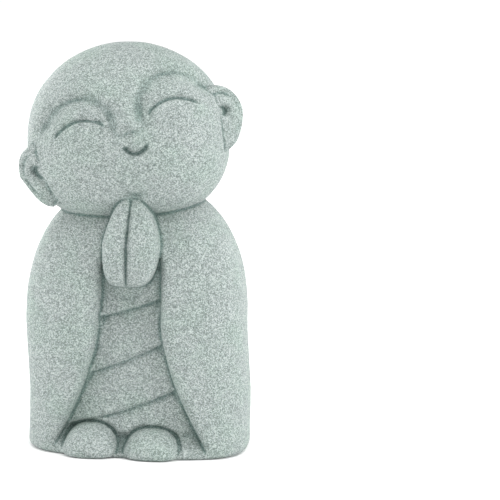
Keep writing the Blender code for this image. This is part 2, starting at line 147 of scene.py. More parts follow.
# Hands: two pressed palms that narrow to the fingertips and, more on the left, to the heels
HAND_BOTTOM = 25.4 * MM
HAND_TOP = 39.3 * MM
HAND_SEAM_X = -0.35 * MM
HAND_SEAM_LEAN = 0.9 * MM
HAND_REACH = 2.1 * MM
HAND_HALF_DEPTH = 4.2 * MM
HAND_TAPER_START = 0.45
HAND_TAPERS = {"right": 1.0, "left": 1.3}
HAND_TAPER_POWER = 1.25
HAND_HEEL_START = 0.4
HAND_HEEL_TAPERS = {"right": 0.1, "left": 0.42}
HAND_OVERLAP = 1.15
HAND_LEAN = 0.3 * MM
HAND_PLAN_POWER = 3.0
TIP_POWER = 2.8
HEEL_POWER = 4.0
HAND_DEPTH_SHARES = (0.55, 0.45)

# Head: a broad egg, rounder at the crown and wider at the cheeks
HEAD_POWER = 2.3
CROWN_ROUNDING = 0.23
CHEEK_SWELL = 0.08
HEAD_OFFSET_X = -2.0 * MM
HEAD_OFFSET_Y = -1.0 * MM
HEAD_LEAN = math.radians(3.8)
HEAD_FRONT_DENSITY = 0.38
FACE_FADES_OVER = 3 * MM

# Face: turned, tipped up and leaning on the skull
FACE_TURN = math.radians(8)
FACE_LIFT = math.radians(8)
FACE_LEAN = math.radians(16.2)
BROW_CENTRE = (7.3 * MM, 0.95 * MM)
BROW_TILT = 0.034
BROW_INNER = 5.0 * MM
BROW_OUTER = 5.8 * MM
BROW_HEIGHT = 5.4 * MM
BROW_RUN_IN = 0.25
BROW_FADE_BELOW = 0.5
BROW_FADE_ABOVE = 0.2
BROW_FADE_ADDED_INSIDE = 0.25
BROW_INSIDE_OVER = 4.0 * MM
BROW_INNER_END = (-2.6 * MM, 5.6 * MM)
BROW_OUTER_END = (1.0 * MM, 3 * MM)
EYE_CENTRE = (7.15 * MM, 2.45 * MM)
EYE_TILT = 0.017
EYE_HALF_LENGTH = 3.65 * MM
EYE_SAG = 1.35 * MM
EYE_WIDTHS = (0.5, 1.9)
EYE_ENDS = (1.1, 0.25)
NOSE_TIP = (0.1 * MM, 0.4 * MM)
NOSE_HALF_WIDTH = 1.2 * MM
NOSE_LENGTH = 4.2 * MM
NOSE_UNDERSIDE = 1.4 * MM
WING_PLACE = (1.2 * MM, -0.2 * MM)
WING_RADIUS = 0.55 * MM
MOUTH_CENTRE = (0.42 * MM, -2.48 * MM)
MOUTH_RADIUS = 1.84 * MM
MOUTH_HALF_ANGLE = math.radians(84)
MOUTH_WIDTHS = (0.8, 2.0)
MOUTH_END = 1.1
MOUTH_END_FADES = {"right": 0.3, "left": 0.9}

# Chin: a shallow slanting hollow over the fingertips
CHIN_HOLLOW = (-1.5 * MM, -10.0 * MM)
CHIN_HOLLOW_SLOPE = 0.2
CHIN_HOLLOW_HALF_WIDTH = 2.1 * MM
CHIN_HOLLOW_HALF_HEIGHT = 0.8 * MM
CHIN_HOLLOW_DEPTH = 0.5 * MM

# Carved lines of the eyes and mouth
GROOVE_HALF_WIDTH = 0.34 * MM

# Ears: long discs with a rim, a groove inside it, a bowl, and a root sunk towards the head
EAR_UPPER_HEIGHT = 4.4 * MM
EAR_LOWER_HEIGHT = 5.3 * MM
EAR_HALF_WIDTH = 4.4 * MM
EAR_HALF_THICKNESS = 1.45 * MM
EAR_SWEEP = math.radians(40)
EAR_SET_IN = 1.4 * MM
EAR_SETS_FORWARD = {"right": 5.8 * MM, "left": 4.3 * MM}
EAR_HEIGHTS = {"right": -2.9 * MM, "left": -1.35 * MM}
EAR_TOP_FULLNESS = {"right": 0.3, "left": 0.0}
EAR_LOBE_TAPERS = {"right": 0.42, "left": 0.3}
EAR_LOBE_POWERS = {"right": 0.7, "left": 1.0}
EAR_RIM = 0.35 * MM
EAR_RIM_RADIUS = 0.88
EAR_RIM_HALF_WIDTH = 0.13
EAR_RIM_START = 0.6
EAR_RIM_ACROSS = 1.4
EAR_RIM_ALONG = 0.5
EAR_GROOVES = {"right": 0.15 * MM, "left": 0.22 * MM}
EAR_GROOVE_RADIUS = 0.69
EAR_GROOVE_HALF_WIDTH = 0.08
EAR_GROOVE_FADE = 25
EAR_GROOVE_ENDS = {"right": (-95, 85), "left": (40, 120)}
EAR_BOWLS = {"right": 1.9 * MM, "left": 2.0 * MM}
EAR_BOWL_PLACES = {"right": (0.2, 0.06), "left": (0.10, 0.09)}
EAR_BOWL_SIZES = {"right": (0.2, 0.22), "left": (0.20, 0.16)}
EAR_BOWL_LEANS = {"right": 0.3, "left": 0.0}
EAR_ROOT_SINKS = {"right": 0.8 * MM, "left": 0.25 * MM}
EAR_ROOT_EDGES = {"right": 0.3, "left": 0.1}
EAR_ROOT_OVER = 0.5
EAR_FACE_OVER = 0.4
EAR_LOBES_BACK = {"right": 1.4 * MM, "left": 0.0}

# Cast skin: softened, then left to wander slowly; edges sharper than SHARP_FROM stay sharp
WORN_FACTOR = 0.5
WORN_PASSES = 2
WANDER_SCALE = 3.5 * MM
SHARP_FROM = math.radians(60)

# Hollows: points under the smoothed surface, from a ridge to a hollow over HOLLOW_SPAN; painted shade
# darkens the stone in creases and recesses from the threshold below
RELAX_SHARES = (0.4, 0.6)
HOLLOW_SPAN = 0.1 * MM
PAINTED_SHADE_FROM = 0.52

# Stone: fine mottling, a slow drift towards green, and a faint relief of the grain
FINES_SCALE = 0.45 * MM
FINES_RANGE = (0.3, 0.7)
FINES_TONES = (0.9, 1.09)
DRIFT_SCALE = 5.0 * MM
DRIFT_RANGE = (0.42, 0.68)
DRIFT_MOST = 0.45
GRAIN_IN_BUMP = 0.6
BUMP_STRENGTH = 0.5
BUMP_DEPTH = 0.05 * MM

# Floor and camera: what the lights and camera look at, and the camera's aim past it in millimetres
FLOOR_RADIUS = 3.0
PAPER_ROUGHNESS = 0.9
MIDDLE_HEIGHT = 30 * MM
AIM_RIGHT = 16.4
AIM_DOWN = 0.6
SENSOR_WIDTH = 36.0

# Softboxes: name, place in metres, width in metres, power in watts
SOFTBOXES = (
    ("right_softbox", (0.58, -0.20, 0.26), 0.45, 2.85),
    ("left_softbox", (-0.58, -0.20, 0.24), 0.45, 2.5),
    ("right_edge_light", (0.36, 0.60, 0.20), 0.35, 1.8),
    ("left_edge_light", (-0.42, 0.52, 0.14), 0.35, 3.4),
)
SKY_LIGHT_FROM = (0.12, -0.2, 1.0)
SKY_LIGHT_SPREAD = math.radians(70)
SKY_LIGHT_STRENGTH = 2.15

# Fineness of the forms: segments and rings, and the cuts that divide each again
ROBE_STEPS = (105, 82, 3)
HEAD_STEPS = (105, 65, 3)
SMALL_STEPS = (37, 37, 2)
MOST_TRIANGLES = 190000
CAVITY_PASSES = 11


def linear(hex_colour):
    """The linear RGB of an sRGB hex colour, as shader sockets and colour properties take it."""
    shares = [int(hex_colour[i : i + 2], 16) / 255 for i in (1, 3, 5)]
    return tuple(c / 12.92 if c <= 0.04045 else ((c + 0.055) / 1.055) ** 2.4 for c in shares)


def smooth(t):
    """0 below 0, 1 above 1, with a soft start and end between."""
    t = np.clip(t, 0.0, 1.0)
    return t * t * (3 - 2 * t)


def bell(t):
    """1 at 0, falling off evenly on both sides."""
    return np.exp(-t * t)


def length_property(name, description, millimetres):
    return bpy.props.FloatProperty(
        name=name, description=description, default=millimetres * MM, min=0.0, unit="LENGTH", precision=5
    )


def colour_property(name, description, hex_colour):
    return bpy.props.FloatVectorProperty(
        name=name, description=description, default=linear(hex_colour), min=0.0, max=1.0, subtype="COLOR"
    )


class JizoSizes(bpy.types.PropertyGroup):
    """The sizes of the figure's forms and the depths of its carving."""

    height: length_property("Height", "Underside to crown", 60.5)
    robe_half_width: length_property("Robe half width", "Middle to side of the robe", 16.4)
    robe_half_depth: length_property("Robe half depth", "Middle to uncarved front of the robe", 11.8)
    opening_depth: length_property("Opening depth", "Sleeve front to under-robe", 2.8)
    sleeve_roll: length_property("Sleeve edge", "Width of the sleeves' rounded front edges", 1.9)
    fold_step: length_property("Fold step", "Height of each fold over the cloth below it", 0.5)
    head_half_width: length_property("Head half width", "Middle to side of the head", 14.85)
    head_half_depth: length_property("Head half depth", "Middle to front of the head", 13.3)
    head_half_height: length_property("Head half height", "Middle to crown of the head", 13.15)
    brow_depth: length_property("Brow depth", "How deep the brow hollows lie", 1.0)
    eye_depth: length_property("Eye depth", "How deep the closed eyes are cut", 0.65)
    nose_height: length_property("Nose height", "How far the nose's tip stands out", 1.3)
    wing_height: length_property("Wing height", "How far the nose's wings stand out", 0.4)
    mouth_depth: length_property("Mouth depth", "How deep the mouth is cut", 1.0)
    right_hand_width: length_property("Right hand width", "Width of the right hand at its broadest", 3.45)
    left_hand_width: length_property("Left hand width", "Width of the left hand at its broadest", 4.45)
    skin_step: length_property("Skin step", "Spacing of the cast skin's first mesh", 0.15)
    unevenness: length_property("Unevenness", "How far the surface wanders from its form", 0.12)


class JizoStone(bpy.types.PropertyGroup):
    """The colours and grain of the cast stone, and the colour of the shade painted into its hollows."""

    body: colour_property("Body", "The stone between its grains", "#8F9996")
    light_grain: colour_property("Light grain", "Quartz and pale sand", "#B8C0BE")
    dark_grain: colour_property("Dark grain", "Dark sand", "#646F6C")
    green: colour_property("Green cast", "The greener patches", "#B2BDB5")
    # Painted shade: this colour is multiplied into the creases and recesses, where shade falls; it is not a
    # colour of the stone itself
    hollow: colour_property("Hollows", "Painted shade left in the hollows, over the stone", "#AABBB8")
    grain: length_property("Grain", "Width of the sand grains", 0.13)
    roughness: bpy.props.FloatProperty(
        name="Roughness", description="Roughness of the matt stone", default=0.82, min=0.0, max=1.0
    )


class JizoStage(bpy.types.PropertyGroup):
    """The camera, lights and floor."""

    azimuth: bpy.props.FloatProperty(
        name="Azimuth",
        description="Camera's turn towards the figure's left",
        default=math.radians(8),
        subtype="ANGLE",
    )
    elevation: bpy.props.FloatProperty(
        name="Elevation",
        description="Camera's height over the figure",
        default=math.radians(8),
        subtype="ANGLE",
    )
    roll: bpy.props.FloatProperty(
        name="Roll",
        description="Camera's turn about its own line of sight",
        default=math.radians(-1.2),
        subtype="ANGLE",
    )
    distance: length_property("Distance", "Camera to the middle of the figure", 450.0)
    lens: bpy.props.FloatProperty(
        name="Lens", description="Focal length in millimetres on a 36 mm sensor", default=217.1, min=1.0
    )
    floor: colour_property("Floor", "The white studio floor", "#FAFAFA")
    ambient: bpy.props.FloatProperty(
        name="Ambient", description="Strength of the light from all round", default=0.4, min=0.0
    )


def head_centre(s):
    return np.array([HEAD_OFFSET_X, HEAD_OFFSET_Y, s.height - s.head_half_height])


def robe_top(s):
    return s.height - 2 * s.head_half_height + HEAD_SINK


def robe_share(s, z):
    """The share of its full width and depth that the robe has at height z."""
    rise = np.clip((z - SHOULDER_START) / (robe_top(s) - SHOULDER_START), 0, 1)
    return (1 - rise**SHOULDER_POWER) ** (1 / SHOULDER_POWER)


def foot_edge_inset(z):
    """How far the rounded bottom edge draws the robe in at height z."""
    drop = np.clip(FOOT_EDGE_RADIUS - z, 0, FOOT_EDGE_RADIUS)
    return FOOT_EDGE_RADIUS - np.sqrt(FOOT_EDGE_RADIUS**2 - drop**2)


def robe_front(s, x, z):
    """The y of the robe's uncarved front at x and height z."""
    inset = foot_edge_inset(z)
    share = np.maximum(robe_share(s, z), LEAST_SHARE)
    across = np.clip(np.abs(x) / ((s.robe_half_width - inset) * share), 0, 1)
    depth = (1 - across**ROBE_PLAN_POWER) ** (1 / ROBE_PLAN_POWER)
    return -(s.robe_half_depth - inset) * share * depth


def robe_offset(z):
    """How far the robe's middle lies to the figure's left at height z."""
    return ROBE_OFFSET_X + ROBE_LEAN * smooth((ROBE_LEAN_TOP - z) / ROBE_LEAN_OVER)


def opening_half_width(x, z):
    """Half the opening's width at height z: spread at the foot, narrow towards the fingertips."""
    spread = np.where(x < 0, OPENING_SPREAD["right"], OPENING_SPREAD["left"])
    rise = np.clip(1 - z / OPENING_SPREAD_TOP, 0, 1)
    narrows = OPENING_NARROWS_BY * smooth((z - OPENING_NARROWS_FROM) / (HAND_TOP - OPENING_NARROWS_FROM))
    return OPENING_HALF_WIDTH - narrows + spread * rise**OPENING_SPREAD_POWER


def foot_outline(x, grow):
    """The height of the feet's outline at x, seen from the front and grown by a gap."""
    height = np.zeros_like(x)
    for side, place in FOOT_PLACES.items():
        off = np.abs(x - place) / (FOOT_HALF_WIDTH + grow)
        dome = np.clip(1 - off**FOOT_DOME_POWER, 0, 1) ** (1 / FOOT_DOME_POWER)
        height = np.maximum(height, (FOOT_TOPS[side] + grow) * dome)
    return height


def hem_height(x):
    """The hem follows the feet, and bridges the dip between them."""
    between = HEM_DIP_HEIGHT * ((x > FOOT_PLACES["right"]) & (x < FOOT_PLACES["left"]))
    return np.maximum(foot_outline(x, HEM_GAP), between)


def opening_cut(s, x, z):
    """How deep the opening is carved at x and height z: the under-robe, its folds and its hem."""
    at_hands = smooth((z - HANDS_FROM) / HANDS_OVER)
    edge = s.sleeve_roll - SLEEVE_SHARPENS_BY * at_hands
    inside = opening_half_width(x, z) - np.abs(x)
    inside = inside + at_hands * np.where(x < 0, OPENING_AT_HANDS["right"], OPENING_AT_HANDS["left"])
    roll = np.clip(1 + inside / edge, 0, 1)
    behind_hands = SHALLOWER_AT_HANDS * smooth((z - HANDS_HIDE_FROM) / HANDS_HIDE_OVER)
    cut = s.opening_depth * (1 - behind_hands) * (1 - np.sqrt(1 - roll**2))
    floor = smooth(inside / (OPENING_FLOOR_SHARE * edge))
    for height, slope in zip(FOLD_HEIGHTS, FOLD_SLOPES):
        above = (z - height - slope * x - FOLD_BEND * x * x) / math.hypot(1, slope)
        step = smooth(0.5 - above / FOLD_SOFTNESS) * bell(np.minimum(above, 0) / FOLD_FADE)
        cut = cut + s.fold_step * step * floor
    cut = cut + HEM_DEPTH * smooth((hem_height(x) - z) / HEM_GAP) * floor
    right = smooth(z / OPENING_CLOSES_OVER["right"])
    left = smooth(z / OPENING_CLOSES_OVER["left"])
    between = smooth(z / FEET_MERGE_OVER)
    beyond_right, beyond_left = x < FOOT_PLACES["right"], x > FOOT_PLACES["left"]
    return cut * np.where(beyond_right, right, np.where(beyond_left, left, between))


def rounded_square(sine, cosine, power):
    """How far a rounded square of half width 1 reaches at an angle; power 2 gives a circle."""
    return (np.abs(sine) ** power + np.abs(cosine) ** power) ** (-1 / power)


def robe_shape(s):
    """Rings become level sections, close together in front, where the opening is carved."""

    def shape(unit):
        turn = np.arctan2(unit[:, 0], -unit[:, 1])
        turn = turn - ROBE_FRONT_DENSITY * np.sin(turn)
        climb = np.arcsin(np.clip(unit[:, 2], -1, 1)) / math.pi + 0.5
        rise = np.clip((climb - ROBE_POLE_CLIMB) / ROBE_WALL_CLIMB, 0, 1)
        z = -BELOW_GROUND + (robe_top(s) + BELOW_GROUND) * np.sin(rise * math.pi / 2) ** ROBE_RING_POWER
        near_pole = np.minimum(1, np.minimum(climb / ROBE_POLE_CLIMB, (1 - climb) / ROBE_CROWN_POLE))
        share = np.maximum(robe_share(s, z), 0) * near_pole
        inset = foot_edge_inset(np.maximum(z, 0))
        sine, cosine = np.sin(turn), np.cos(turn)
        reach = rounded_square(sine, cosine, ROBE_PLAN_POWER)
        x = robe_offset(z) + (s.robe_half_width - inset) * share * reach * sine
        y = -(s.robe_half_depth - inset) * share * reach * cosine
        front = smooth((-y / s.robe_half_depth - OPENING_FRONT_FROM) / OPENING_FRONT_OVER)
        y = y + opening_cut(s, x, z) * front
        return np.stack([x, y, z], axis=1)

    return shape


def foot_shape(s, side):
    """A rounded foot that stands out of the robe's front and flares a little at the ground."""
    place, height = FOOT_PLACES[side], FOOT_TOPS[side]
    front = float(robe_front(s, np.array(place), np.array(FOOT_EDGE_RADIUS))) - FOOT_REACH

    def shape(unit):
        turn = np.arctan2(unit[:, 0], -unit[:, 1])
        sine, cosine = np.sin(turn), np.cos(turn)
        square = rounded_square(sine, cosine, FOOT_PLAN_POWER)
        top = np.clip(unit[:, 2], 0, 1)
        dome = np.clip(1 - top**2, 0, 1) ** (1 / FOOT_DOME_POWER)
        level = np.hypot(unit[:, 0], unit[:, 1])
        share = np.where(unit[:, 2] > 0, dome, np.minimum(1, level / FOOT_BASE_ROUND))
        drop = np.clip(-unit[:, 2] / FOOT_BASE_DROP, 0, 1)
        z = height * top ** (2 / FOOT_DOME_POWER) - BELOW_GROUND * drop
        inset = foot_edge_inset(np.maximum(z, 0))
        flare = FOOT_FLARE * smooth(1 - z / FOOT_FLARE_UNDER)
        x = place + (FOOT_HALF_WIDTH + flare - inset) * share * square * sine
        y = front + FOOT_HALF_LENGTH - (FOOT_HALF_LENGTH - inset) * share * square * cosine
        return np.stack([x, y, z], axis=1)

    return shape


def hand_shape(s, side, sign):
    """One palm, a little over the seam, so that the two are pressed together."""
    chest = float(robe_front(s, np.array(0.0), np.array(HAND_BOTTOM)))
    width = {"right": s.right_hand_width, "left": s.left_hand_width}[side]

    def shape(unit):
        climb = (unit[:, 2] + 1) / 2
        power = np.where(climb > 0.5, TIP_POWER, HEEL_POWER)
        ends = np.clip(1 - np.abs(2 * climb - 1) ** power, 0, 1) ** (1 / power)
        over = np.clip(climb - HAND_TAPER_START, 0, 1)
        under = np.clip(HAND_HEEL_START - climb, 0, 1)
        taper = 1 - HAND_TAPERS[side] * over**HAND_TAPER_POWER - HAND_HEEL_TAPERS[side] * under
        turn = np.arctan2(unit[:, 0], unit[:, 1])
        u, v = np.sin(turn), np.cos(turn)
        square = rounded_square(u, v, HAND_PLAN_POWER)
        half = width * ends * taper / 2
        x = HAND_SEAM_X + HAND_SEAM_LEAN * over + sign * half + half * u * square * HAND_OVERLAP
        depth = HAND_HALF_DEPTH * ends * (HAND_DEPTH_SHARES[0] + HAND_DEPTH_SHARES[1] * taper)
        y = chest + HAND_HALF_DEPTH - HAND_REACH + HAND_LEAN * climb + depth * v * square
        z = HAND_BOTTOM + (HAND_TOP - HAND_BOTTOM) * climb
        return np.stack([x, y, z], axis=1)

    return shape


def face_axes():
    """Right, back and up of the face, as rows, in the figure's own axes."""
    turn = Matrix.Rotation(FACE_TURN, 3, "Z") @ Matrix.Rotation(-FACE_LIFT, 3, "X")
    lean = Matrix.Rotation(-FACE_LEAN, 3, "Y")
    return np.array(turn @ lean).T


def face_relief(s, x, z):
    """How far the face stands out of the skull at x and z of the face."""
    side = np.abs(x)
    brow_z = z - BROW_CENTRE[1] - BROW_TILT * x
    low = np.maximum(-brow_z, 0)
    stretch = np.where(side < BROW_CENTRE[0], BROW_INNER + BROW_RUN_IN * low, BROW_OUTER)
    from_brow = np.hypot((side - BROW_CENTRE[0]) / stretch, np.maximum(brow_z, 0) / BROW_HEIGHT) - 1
    inside = smooth((BROW_CENTRE[0] - side) / BROW_INSIDE_OVER)
    above = 1 - smooth(from_brow / (BROW_FADE_ABOVE + BROW_FADE_ADDED_INSIDE * inside))
    below = 1 - smooth(-from_brow / BROW_FADE_BELOW)
    hollow = np.where(from_brow < 0, below, above)
    inner_end = smooth((z - BROW_INNER_END[0]) / BROW_INNER_END[1])
    outer_end = smooth((z - BROW_OUTER_END[0]) / BROW_OUTER_END[1])
    ends = np.where(side < BROW_CENTRE[0], inner_end, outer_end)
    relief = -s.brow_depth * hollow * ends

    along = (side - EYE_CENTRE[0]) / EYE_HALF_LENGTH
    slope = 2 * EYE_SAG * along / EYE_HALF_LENGTH
    below = (EYE_CENTRE[1] - EYE_TILT * x - EYE_SAG * along**2 - z) / np.hypot(1, slope)
    width = np.where(below > 0, *EYE_WIDTHS) * GROOVE_HALF_WIDTH
    relief -= s.eye_depth * bell(below / width) * smooth((EYE_ENDS[0] - np.abs(along)) / EYE_ENDS[1])

    nose_x, nose_z = x - NOSE_TIP[0], z - NOSE_TIP[1]
    rise = np.where(nose_z > 0, 1 - smooth(nose_z / NOSE_LENGTH), 1 - smooth(-nose_z / NOSE_UNDERSIDE))
    relief += s.nose_height * bell(nose_x / NOSE_HALF_WIDTH) * rise
    from_wing = np.hypot(np.abs(nose_x) - WING_PLACE[0], z - WING_PLACE[1])
    relief += s.wing_height * bell(from_wing / WING_RADIUS)

    mouth_x, mouth_z = x - MOUTH_CENTRE[0], z - MOUTH_CENTRE[1]
    off = np.hypot(mouth_x, mouth_z) - MOUTH_RADIUS
    angle = np.abs(np.arctan2(mouth_x, -mouth_z)) / MOUTH_HALF_ANGLE
    width = np.where(off > 0, *MOUTH_WIDTHS) * GROOVE_HALF_WIDTH
    fade = np.where(mouth_x > 0, MOUTH_END_FADES["left"], MOUTH_END_FADES["right"])
    relief -= s.mouth_depth * bell(off / width) * smooth((MOUTH_END - angle) / fade)

    chin_z = z - CHIN_HOLLOW[1] + CHIN_HOLLOW_SLOPE * (x - CHIN_HOLLOW[0])
    from_tips = np.hypot((x - CHIN_HOLLOW[0]) / CHIN_HOLLOW_HALF_WIDTH, chin_z / CHIN_HOLLOW_HALF_HEIGHT)
    relief -= CHIN_HOLLOW_DEPTH * bell(from_tips)
    return relief


def head_shape(s):
    """An egg of three half sizes, with the face carved along its radius."""

    def shape(unit):
        turn = np.arctan2(unit[:, 0], -unit[:, 1])
        turn = turn - HEAD_FRONT_DENSITY * np.sin(turn)
        level = np.hypot(unit[:, 0], unit[:, 1])
        d = np.stack([level * np.sin(turn), -level * np.cos(turn), unit[:, 2]], axis=1)
        wide = s.head_half_width * (1 - CHEEK_SWELL * d[:, 2])
        deep = np.full_like(wide, s.head_half_depth)
        tall = np.full_like(wide, s.head_half_height)
        sizes = np.stack([wide, deep, tall], axis=1)
        power = HEAD_POWER - CROWN_ROUNDING * d[:, 2]
        radius = (np.abs(d / sizes) ** power[:, None]).sum(axis=1) ** (-1 / power)
        lean = np.array(Matrix.Rotation(-HEAD_LEAN, 3, "Y"))
        points = (d * radius[:, None]) @ lean.T
        face = points @ face_axes().T
        front = smooth(-face[:, 1] / FACE_FADES_OVER)
        relief = face_relief(s, face[:, 0], face[:, 2]) * front
        length = np.linalg.norm(points, axis=1)
        return head_centre(s) + points * (1 + relief / length)[:, None]

    return shape


def ear_shape(s, side, sign):
    """A disc with a raised rim and a hollow, facing forward and out."""
    axes = face_axes()
    out = sign * math.cos(EAR_SWEEP) * axes[0] + math.sin(EAR_SWEEP) * axes[1]
    facing = sign * math.sin(EAR_SWEEP) * axes[0] - math.cos(EAR_SWEEP) * axes[1]
    up = axes[2]
    root = head_centre(s) + sign * (s.head_half_width - EAR_SET_IN) * axes[0]
    root = root - EAR_SETS_FORWARD[side] * axes[1] + EAR_HEIGHTS[side] * axes[2]

    def shape(unit):
        u, v = unit[:, 0], unit[:, 1]
        narrowing = EAR_LOBE_TAPERS[side] * np.clip(-v, 0, 1) ** EAR_LOBE_POWERS[side]
        o = u * EAR_HALF_WIDTH * (1 - narrowing + EAR_TOP_FULLNESS[side] * np.clip(v, 0, 1) ** 2)
        t = v * np.where(v > 0, EAR_UPPER_HEIGHT, EAR_LOWER_HEIGHT)
        plane = np.hypot(u, v)
        outer = smooth(EAR_RIM_ACROSS * u + EAR_RIM_START + EAR_RIM_ALONG * v)
        relief = EAR_RIM * bell((plane - EAR_RIM_RADIUS) / EAR_RIM_HALF_WIDTH) * outer
        angle = np.degrees(np.arctan2(v, u))
        first, last = EAR_GROOVE_ENDS[side]
        inside = smooth((angle - first) / EAR_GROOVE_FADE) * smooth((last - angle) / EAR_GROOVE_FADE)
        relief -= EAR_GROOVES[side] * bell((plane - EAR_GROOVE_RADIUS) / EAR_GROOVE_HALF_WIDTH) * inside
        bowl_v = v - EAR_BOWL_PLACES[side][1]
        bowl_u = u - EAR_BOWL_PLACES[side][0] - EAR_BOWL_LEANS[side] * bowl_v
        across, along = EAR_BOWL_SIZES[side]
        relief -= EAR_BOWLS[side] * bell(np.hypot(bowl_u / across, bowl_v / along))
        relief -= EAR_ROOT_SINKS[side] * smooth((EAR_ROOT_EDGES[side] - u) / EAR_ROOT_OVER)
        n = unit[:, 2] * EAR_HALF_THICKNESS + relief * smooth(unit[:, 2] / EAR_FACE_OVER)
        back = EAR_LOBES_BACK[side] * np.clip(-v, 0, 1)
        points = root + o[:, None] * out + t[:, None] * up + n[:, None] * facing
        return points + back[:, None] * axes[1]

    return shape


def deselect_all():
    for obj in bpy.context.view_layer.objects:
        obj.select_set(False)


def add_form(name, steps, shape):
    """Adds a finely divided sphere and moves its points to the form, as from a sculptor's block."""
    deselect_all()
    segments, rings, cuts = steps
    bpy.ops.mesh.primitive_uv_sphere_add(
        segments=segments, ring_count=rings, radius=1.0, location=(0, 0, 0)
    )
    form = bpy.context.active_object
    form.name = name
    bpy.ops.object.mode_set(mode="EDIT")
    bpy.ops.mesh.select_all(action="SELECT")
    bpy.ops.mesh.subdivide(number_cuts=cuts)
    bpy.ops.object.mode_set(mode="OBJECT")
    points = np.empty(len(form.data.vertices) * 3)
    form.data.vertices.foreach_get("co", points)
    points = points.reshape(-1, 3)
    unit = points / np.linalg.norm(points, axis=1)[:, None]
    form.data.vertices.foreach_set("co", shape(unit).ravel())
    form.data.update()
    return form


def turn_faces_out(form):
    """Recalculates the normals of a form that its mirrored axes turned inside out."""
    deselect_all()
    form.select_set(True)
    bpy.context.view_layer.objects.active = form
    bpy.ops.object.mode_set(mode="EDIT")
    bpy.ops.mesh.select_all(action="SELECT")
    bpy.ops.mesh.normals_make_consistent(inside=False)
    bpy.ops.object.mode_set(mode="OBJECT")


def apply_modifier(obj, name, kind, **settings):
    modifier = obj.modifiers.new(name, kind)
    for setting, value in settings.items():
        setattr(modifier, setting, value)
    bpy.ops.object.modifier_apply(modifier=name)


def node(tree, kind, settings, inputs):
    """Adds a node, sets it up, and links or sets its inputs."""
    made = tree.nodes.new(kind)
    for setting, value in settings.items():
        setattr(made, setting, value)
    for socket, source in inputs.items():
        if isinstance(source, bpy.types.NodeSocket):
            tree.links.new(source, made.inputs[socket])
        else:
            made.inputs[socket].default_value = source
    return made


def remapped(tree, value, start, end):
    """Carries a value from one range to another with a Map Range node."""
    ends = {"From Min": start[0], "From Max": start[1], "To Min": end[0], "To Max": end[1]}
    return node(tree, "ShaderNodeMapRange", {}, {"Value": value, **ends}).outputs["Result"]


def multiplied(tree, share, colour, by):
    """Multiplies one colour by another, as far as the share says, with a Mix node."""
    settings = {"data_type": "RGBA", "blend_type": "MULTIPLY"}
    return node(tree, "ShaderNodeMix", settings, {"Factor": share, 6: colour, 7: by}).outputs[2]


def ramp_stops(ramp_node, stops):
    """Sets the stops of a Color Ramp node from (place, colour) pairs."""
    ramp = ramp_node.color_ramp
    ramp.interpolation = "LINEAR"
    while len(ramp.elements) > 1:
        ramp.elements.remove(ramp.elements[-1])
    ramp.elements[0].position = stops[0][0]
    ramp.elements[0].color = (*stops[0][1], 1.0)
    for place, colour in stops[1:]:
        ramp.elements.new(place).color = (*colour, 1.0)


def mark_hollows(obj):
    """Stores on each point how far it lies under the smoothed surface: 0.5 flat, 1 deep in a crease."""
    mesh = obj.data
    count = len(mesh.vertices)
    points = np.empty(count * 3)
    mesh.vertices.foreach_get("co", points)
    points = points.reshape(-1, 3)
    normals = np.empty(count * 3, np.float32)
    mesh.vertex_normals.foreach_get("vector", normals)
    edges = np.empty(len(mesh.edges) * 2, np.int32)
    mesh.edges.foreach_get("vertices", edges)
    a, b = edges.reshape(-1, 2).T
    both, other = np.concatenate([a, b]), np.concatenate([b, a])
    around = np.bincount(both, minlength=count)
    relaxed = points.copy()
    kept, drawn = RELAX_SHARES
    for _ in range(CAVITY_PASSES):
        total = np.stack([np.bincount(both, relaxed[other, i], count) for i in range(3)], axis=1)
        relaxed = kept * relaxed + drawn * total / around[:, None]
    sunk = ((relaxed - points) * normals.reshape(-1, 3)).sum(axis=1)
    # The material uses this value to paint shade into creases and recesses
    hollow = mesh.attributes.new("hollow", "FLOAT", "POINT")
    hollow.data.foreach_set("value", np.clip(0.5 + sunk / HOLLOW_SPAN, 0, 1).astype(np.float32))


